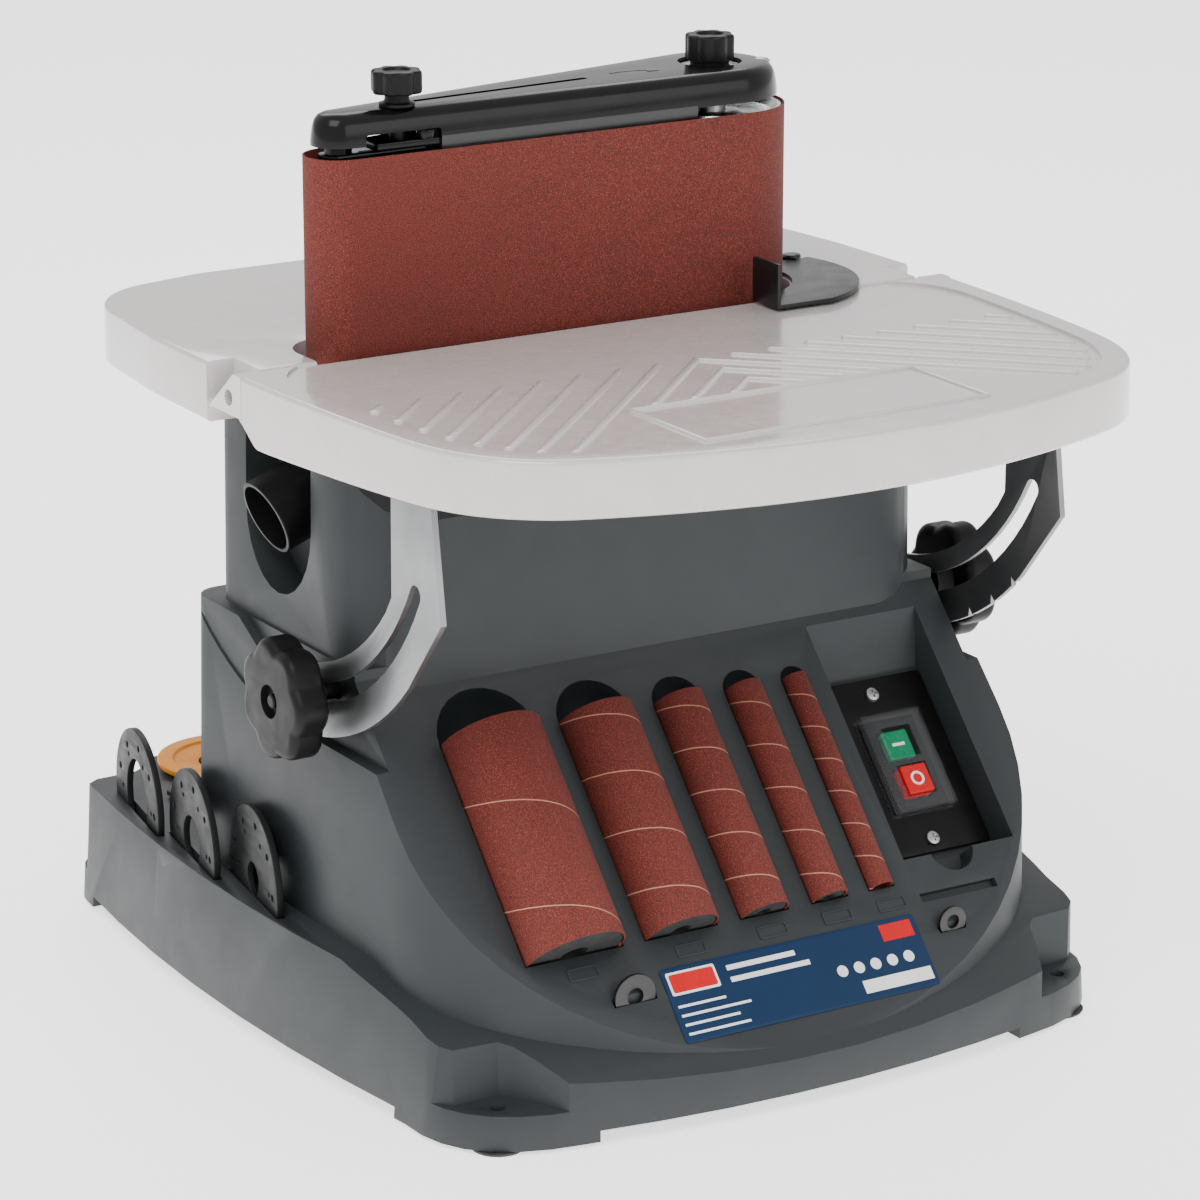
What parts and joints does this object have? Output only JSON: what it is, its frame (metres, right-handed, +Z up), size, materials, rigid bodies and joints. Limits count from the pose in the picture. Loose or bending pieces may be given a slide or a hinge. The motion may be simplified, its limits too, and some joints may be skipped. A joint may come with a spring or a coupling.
{
  "type": "oscillating spindle sander",
  "caption": "Benchtop belt and spindle sander with a tilting front table, a round-ended upright abrasive belt, a sloping switch panel and stored sanding sleeves.",
  "frame": {"origin": "on the floor at the centre of the footprint, just below the seam between the two tables", "axes": "+Z up, +Y to the back, away from the tilting table and the switch panel, +X to the right seen from the front"},
  "size_m": [0.399, 0.4835, 0.461],
  "materials": {
    "housing": "satin blue-grey moulded housing, fine texture",
    "table": "light grey painted cast aluminium, orange-peel gloss",
    "zinc": "zinc-plated sheet steel",
    "steel": "machined steel",
    "black_steel": "gloss black painted steel",
    "black_plastic": "satin black moulded plastic",
    "insert_plastic": "matte black moulded plastic",
    "abrasive": "reddish brown abrasive cloth",
    "rubber": "dark grey rubber",
    "amber": "translucent amber plastic",
    "green": "glossy green plastic",
    "red": "glossy red plastic",
    "clear": "clear flexible cover",
    "drum": "turned aluminium",
    "stator": "dark motor casing"
  },
  "bodies": {
    "base": {"base_housing": "housing", "base_plate": "steel", "rear_table": "table", "hinge_pin_left": "steel", "hinge_pin_right": "steel", "work_stop": "black_steel", "work_stop_screw": "steel", "bearing_housing": "drum", "motor_stator": "stator", "drive_belt": "rubber", "cord_gland": "black_plastic", "dust_port": "black_plastic", "spindle_washer_large": "steel", "spindle_washer_small": "steel", "switch_plate": "black_plastic", "switch_body": "black_plastic", "switch_cover": "clear", "table_insert_large_hole": "insert_plastic", "table_insert_medium_hole": "insert_plastic", "table_insert_small_hole": "insert_plastic", "table_ring": "amber", "hex_key": "black_steel", "rubber_foot_1": "rubber", "rubber_foot_2": "rubber", "rubber_foot_3": "rubber", "rubber_foot_4": "rubber", "sleeve_50mm": "abrasive", "sleeve_38mm": "abrasive", "sleeve_25mm": "abrasive", "sleeve_19mm": "abrasive", "sleeve_13mm": "abrasive", "rubber_drum_50mm": "rubber", "rubber_drum_38mm": "rubber", "rubber_drum_25mm": "rubber", "rubber_drum_19mm": "rubber"},
    "leaf": {"tilting_table": "table", "trunnion_left": "zinc", "trunnion_right": "zinc"},
    "knob_left": {"tilt_knob_left": "black_plastic"},
    "knob_right": {"tilt_knob_right": "black_plastic"},
    "belt_unit": {"belt_frame": "black_steel", "belt_guard": "black_steel", "sanding_belt": "abrasive", "lift_yoke": "steel"},
    "spindle": {"spindle_shaft": "steel", "drive_drum": "drum", "spindle_knob": "black_plastic"},
    "idler_carrier": {"idler_arm": "black_steel"},
    "idler": {"idler_drum": "drum"},
    "lever": {"tension_lever": "black_steel"},
    "tracker": {"tracking_knob": "black_plastic"},
    "rotor": {"motor_rotor": "steel"},
    "pulley": {"spindle_pulley": "steel"},
    "worm_gear": {"worm_wheel": "drum"},
    "start": {"start_button": "green"},
    "stop": {"stop_button": "red"}
  },
  "joints": [
    {"name": "table_tilt", "type": "hinge", "parent": "base", "child": "leaf", "pos_m": [0, 0.0045, 0.3195], "axis": [1, 0, 0], "range_deg": [0, 45]},
    {"name": "knob_left_turn", "type": "hinge", "parent": "base", "child": "knob_left", "pos_m": [-0.174, -0.02949, 0.18111], "axis": [-1, 0, 0], "range_deg": [0, 360]},
    {"name": "knob_right_turn", "type": "hinge", "parent": "base", "child": "knob_right", "pos_m": [0.174, -0.02949, 0.18111], "axis": [1, 0, 0], "range_deg": [0, 360]},
    {"name": "oscillation", "type": "slide", "parent": "base", "child": "belt_unit", "axis": [0, 0, 1], "range_m": [-0.008, 0.008]},
    {"name": "spindle_spin", "type": "hinge", "parent": "belt_unit", "child": "spindle", "pos_m": [0.086, 0.04, 0.3315], "axis": [0, 0, 1], "continuous": true},
    {"name": "idler_tension", "type": "slide", "parent": "belt_unit", "child": "idler_carrier", "axis": [1, 0, 0], "range_m": [0, 0.004]},
    {"name": "idler_spin", "type": "hinge", "parent": "idler_carrier", "child": "idler", "pos_m": [-0.132, 0.0195, 0.3315], "axis": [0, 0, 1], "continuous": true},
    {"name": "lever_turn", "type": "hinge", "parent": "belt_unit", "child": "lever", "pos_m": [-0.066, 0.0175, 0.43], "axis": [0, 0, -1], "range_deg": [0, 30]},
    {"name": "tracking_turn", "type": "hinge", "parent": "belt_unit", "child": "tracker", "pos_m": [-0.102, 0.017, 0.445], "axis": [0, 0, 1], "range_deg": [-180, 180]},
    {"name": "motor_spin", "type": "hinge", "parent": "base", "child": "rotor", "pos_m": [0, 0.14, 0.12], "axis": [0, 0, 1], "continuous": true},
    {"name": "pulley_spin", "type": "hinge", "parent": "base", "child": "pulley", "pos_m": [0.086, 0.04, 0.09], "axis": [0, 0, 1], "continuous": true},
    {"name": "worm_wheel_spin", "type": "hinge", "parent": "base", "child": "worm_gear", "pos_m": [0.08, 0.0006, 0.124], "axis": [1, 0, 0], "continuous": true},
    {"name": "start_press", "type": "slide", "parent": "base", "child": "start", "axis": [0, 0.7373, -0.6756], "range_m": [0, 0.003], "stiffness_N_per_m": 400},
    {"name": "stop_press", "type": "slide", "parent": "base", "child": "stop", "axis": [0, 0.7373, -0.6756], "range_m": [0, 0.003], "stiffness_N_per_m": 400}
  ],
  "couplings": [
    {"joint": "pulley_spin", "follows": "motor_spin", "ratio": 0.71429},
    {"joint": "spindle_spin", "follows": "motor_spin", "ratio": 0.71429},
    {"joint": "idler_spin", "follows": "motor_spin", "ratio": 1.5968},
    {"joint": "worm_wheel_spin", "follows": "motor_spin", "ratio": 0.021008},
    {"joint": "lever_turn", "follows": "idler_tension", "rad_per_m": 130.9}
  ]
}
